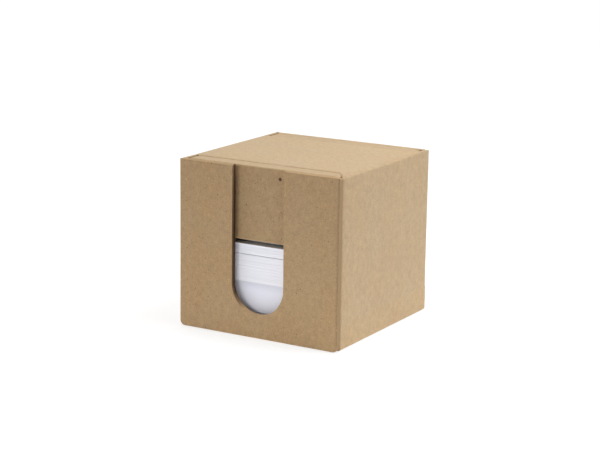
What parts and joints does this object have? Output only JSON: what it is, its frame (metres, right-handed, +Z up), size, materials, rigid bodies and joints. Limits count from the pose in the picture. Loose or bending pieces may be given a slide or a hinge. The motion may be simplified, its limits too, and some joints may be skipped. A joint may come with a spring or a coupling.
{
  "type": "memo pad holder with hinged pen box",
  "caption": "Kraft board memo cube: open tray with a finger notch for square note sheets, and a lid that is a pen box with index flags and swings over to stand beside it.",
  "frame": {"origin": "centre of the outline, on the surface that the cube stands on", "axes": "+X to the right seen from the notch, towards the hinge side; +Y to the back, away from the notch; +Z up"},
  "size_m": [0.0852, 0.0876, 0.08],
  "materials": {
    "kraft_board": "uncoated recycled kraft board, matt, with fibres and specks",
    "kraft_sheet": "uncoated recycled kraft sheet, matt, with fibres and specks",
    "memo_paper": "uncoated white note paper",
    "flag_blue": "pale blue sticky flag paper",
    "flag_green": "pale green sticky flag paper",
    "flag_yellow": "pale yellow sticky flag paper",
    "flag_pink": "pink sticky flag paper",
    "flag_cream": "cream sticky flag paper"
  },
  "bodies": {
    "memo_tray": {"front_wall_outer": "kraft_board", "front_wall_inner": "kraft_board", "back_wall_outer": "kraft_board", "back_wall_inner": "kraft_board", "base_board": "kraft_board", "left_board": "kraft_board", "right_board": "kraft_board", "front_left_tab": "kraft_board", "front_right_tab": "kraft_board", "back_left_tab": "kraft_board", "back_right_tab": "kraft_board", "wrap_left": "kraft_sheet", "wrap_base": "kraft_sheet", "wrap_right": "kraft_sheet", "memo_sheets_top": "memo_paper", "memo_sheets_upper": "memo_paper", "memo_sheets_lower": "memo_paper"},
    "hinge_spine": {"hinge_strip": "kraft_sheet"},
    "pen_box": {"hinge_flap": "kraft_sheet", "pen_top_panel": "kraft_board", "pen_front_panel": "kraft_board", "pen_back_panel": "kraft_board", "flag_panel": "kraft_board", "pen_end_panel": "kraft_board", "end_tab_top": "kraft_board", "end_tab_front": "kraft_board", "end_tab_back": "kraft_board", "flag_pad_blue": "flag_blue", "flag_pad_green": "flag_green", "flag_pad_yellow": "flag_yellow", "flag_pad_pink": "flag_pink", "flag_pad_cream": "flag_cream"}
  },
  "joints": [
    {"name": "spine_crease", "type": "hinge", "parent": "memo_tray", "child": "hinge_spine", "pos_m": [0.0426, 0, 0.0787], "axis": [0, 1, 0], "range_deg": [0, 161.5]},
    {"name": "pen_box_crease", "type": "hinge", "parent": "hinge_spine", "child": "pen_box", "pos_m": [0.03675, 0, 0.08], "axis": [0, 1, 0], "range_deg": [0, 108.5]}
  ],
  "couplings": [
    {"joint": "spine_crease", "follows": "pen_box_crease", "ratio": 1.4885}
  ]
}
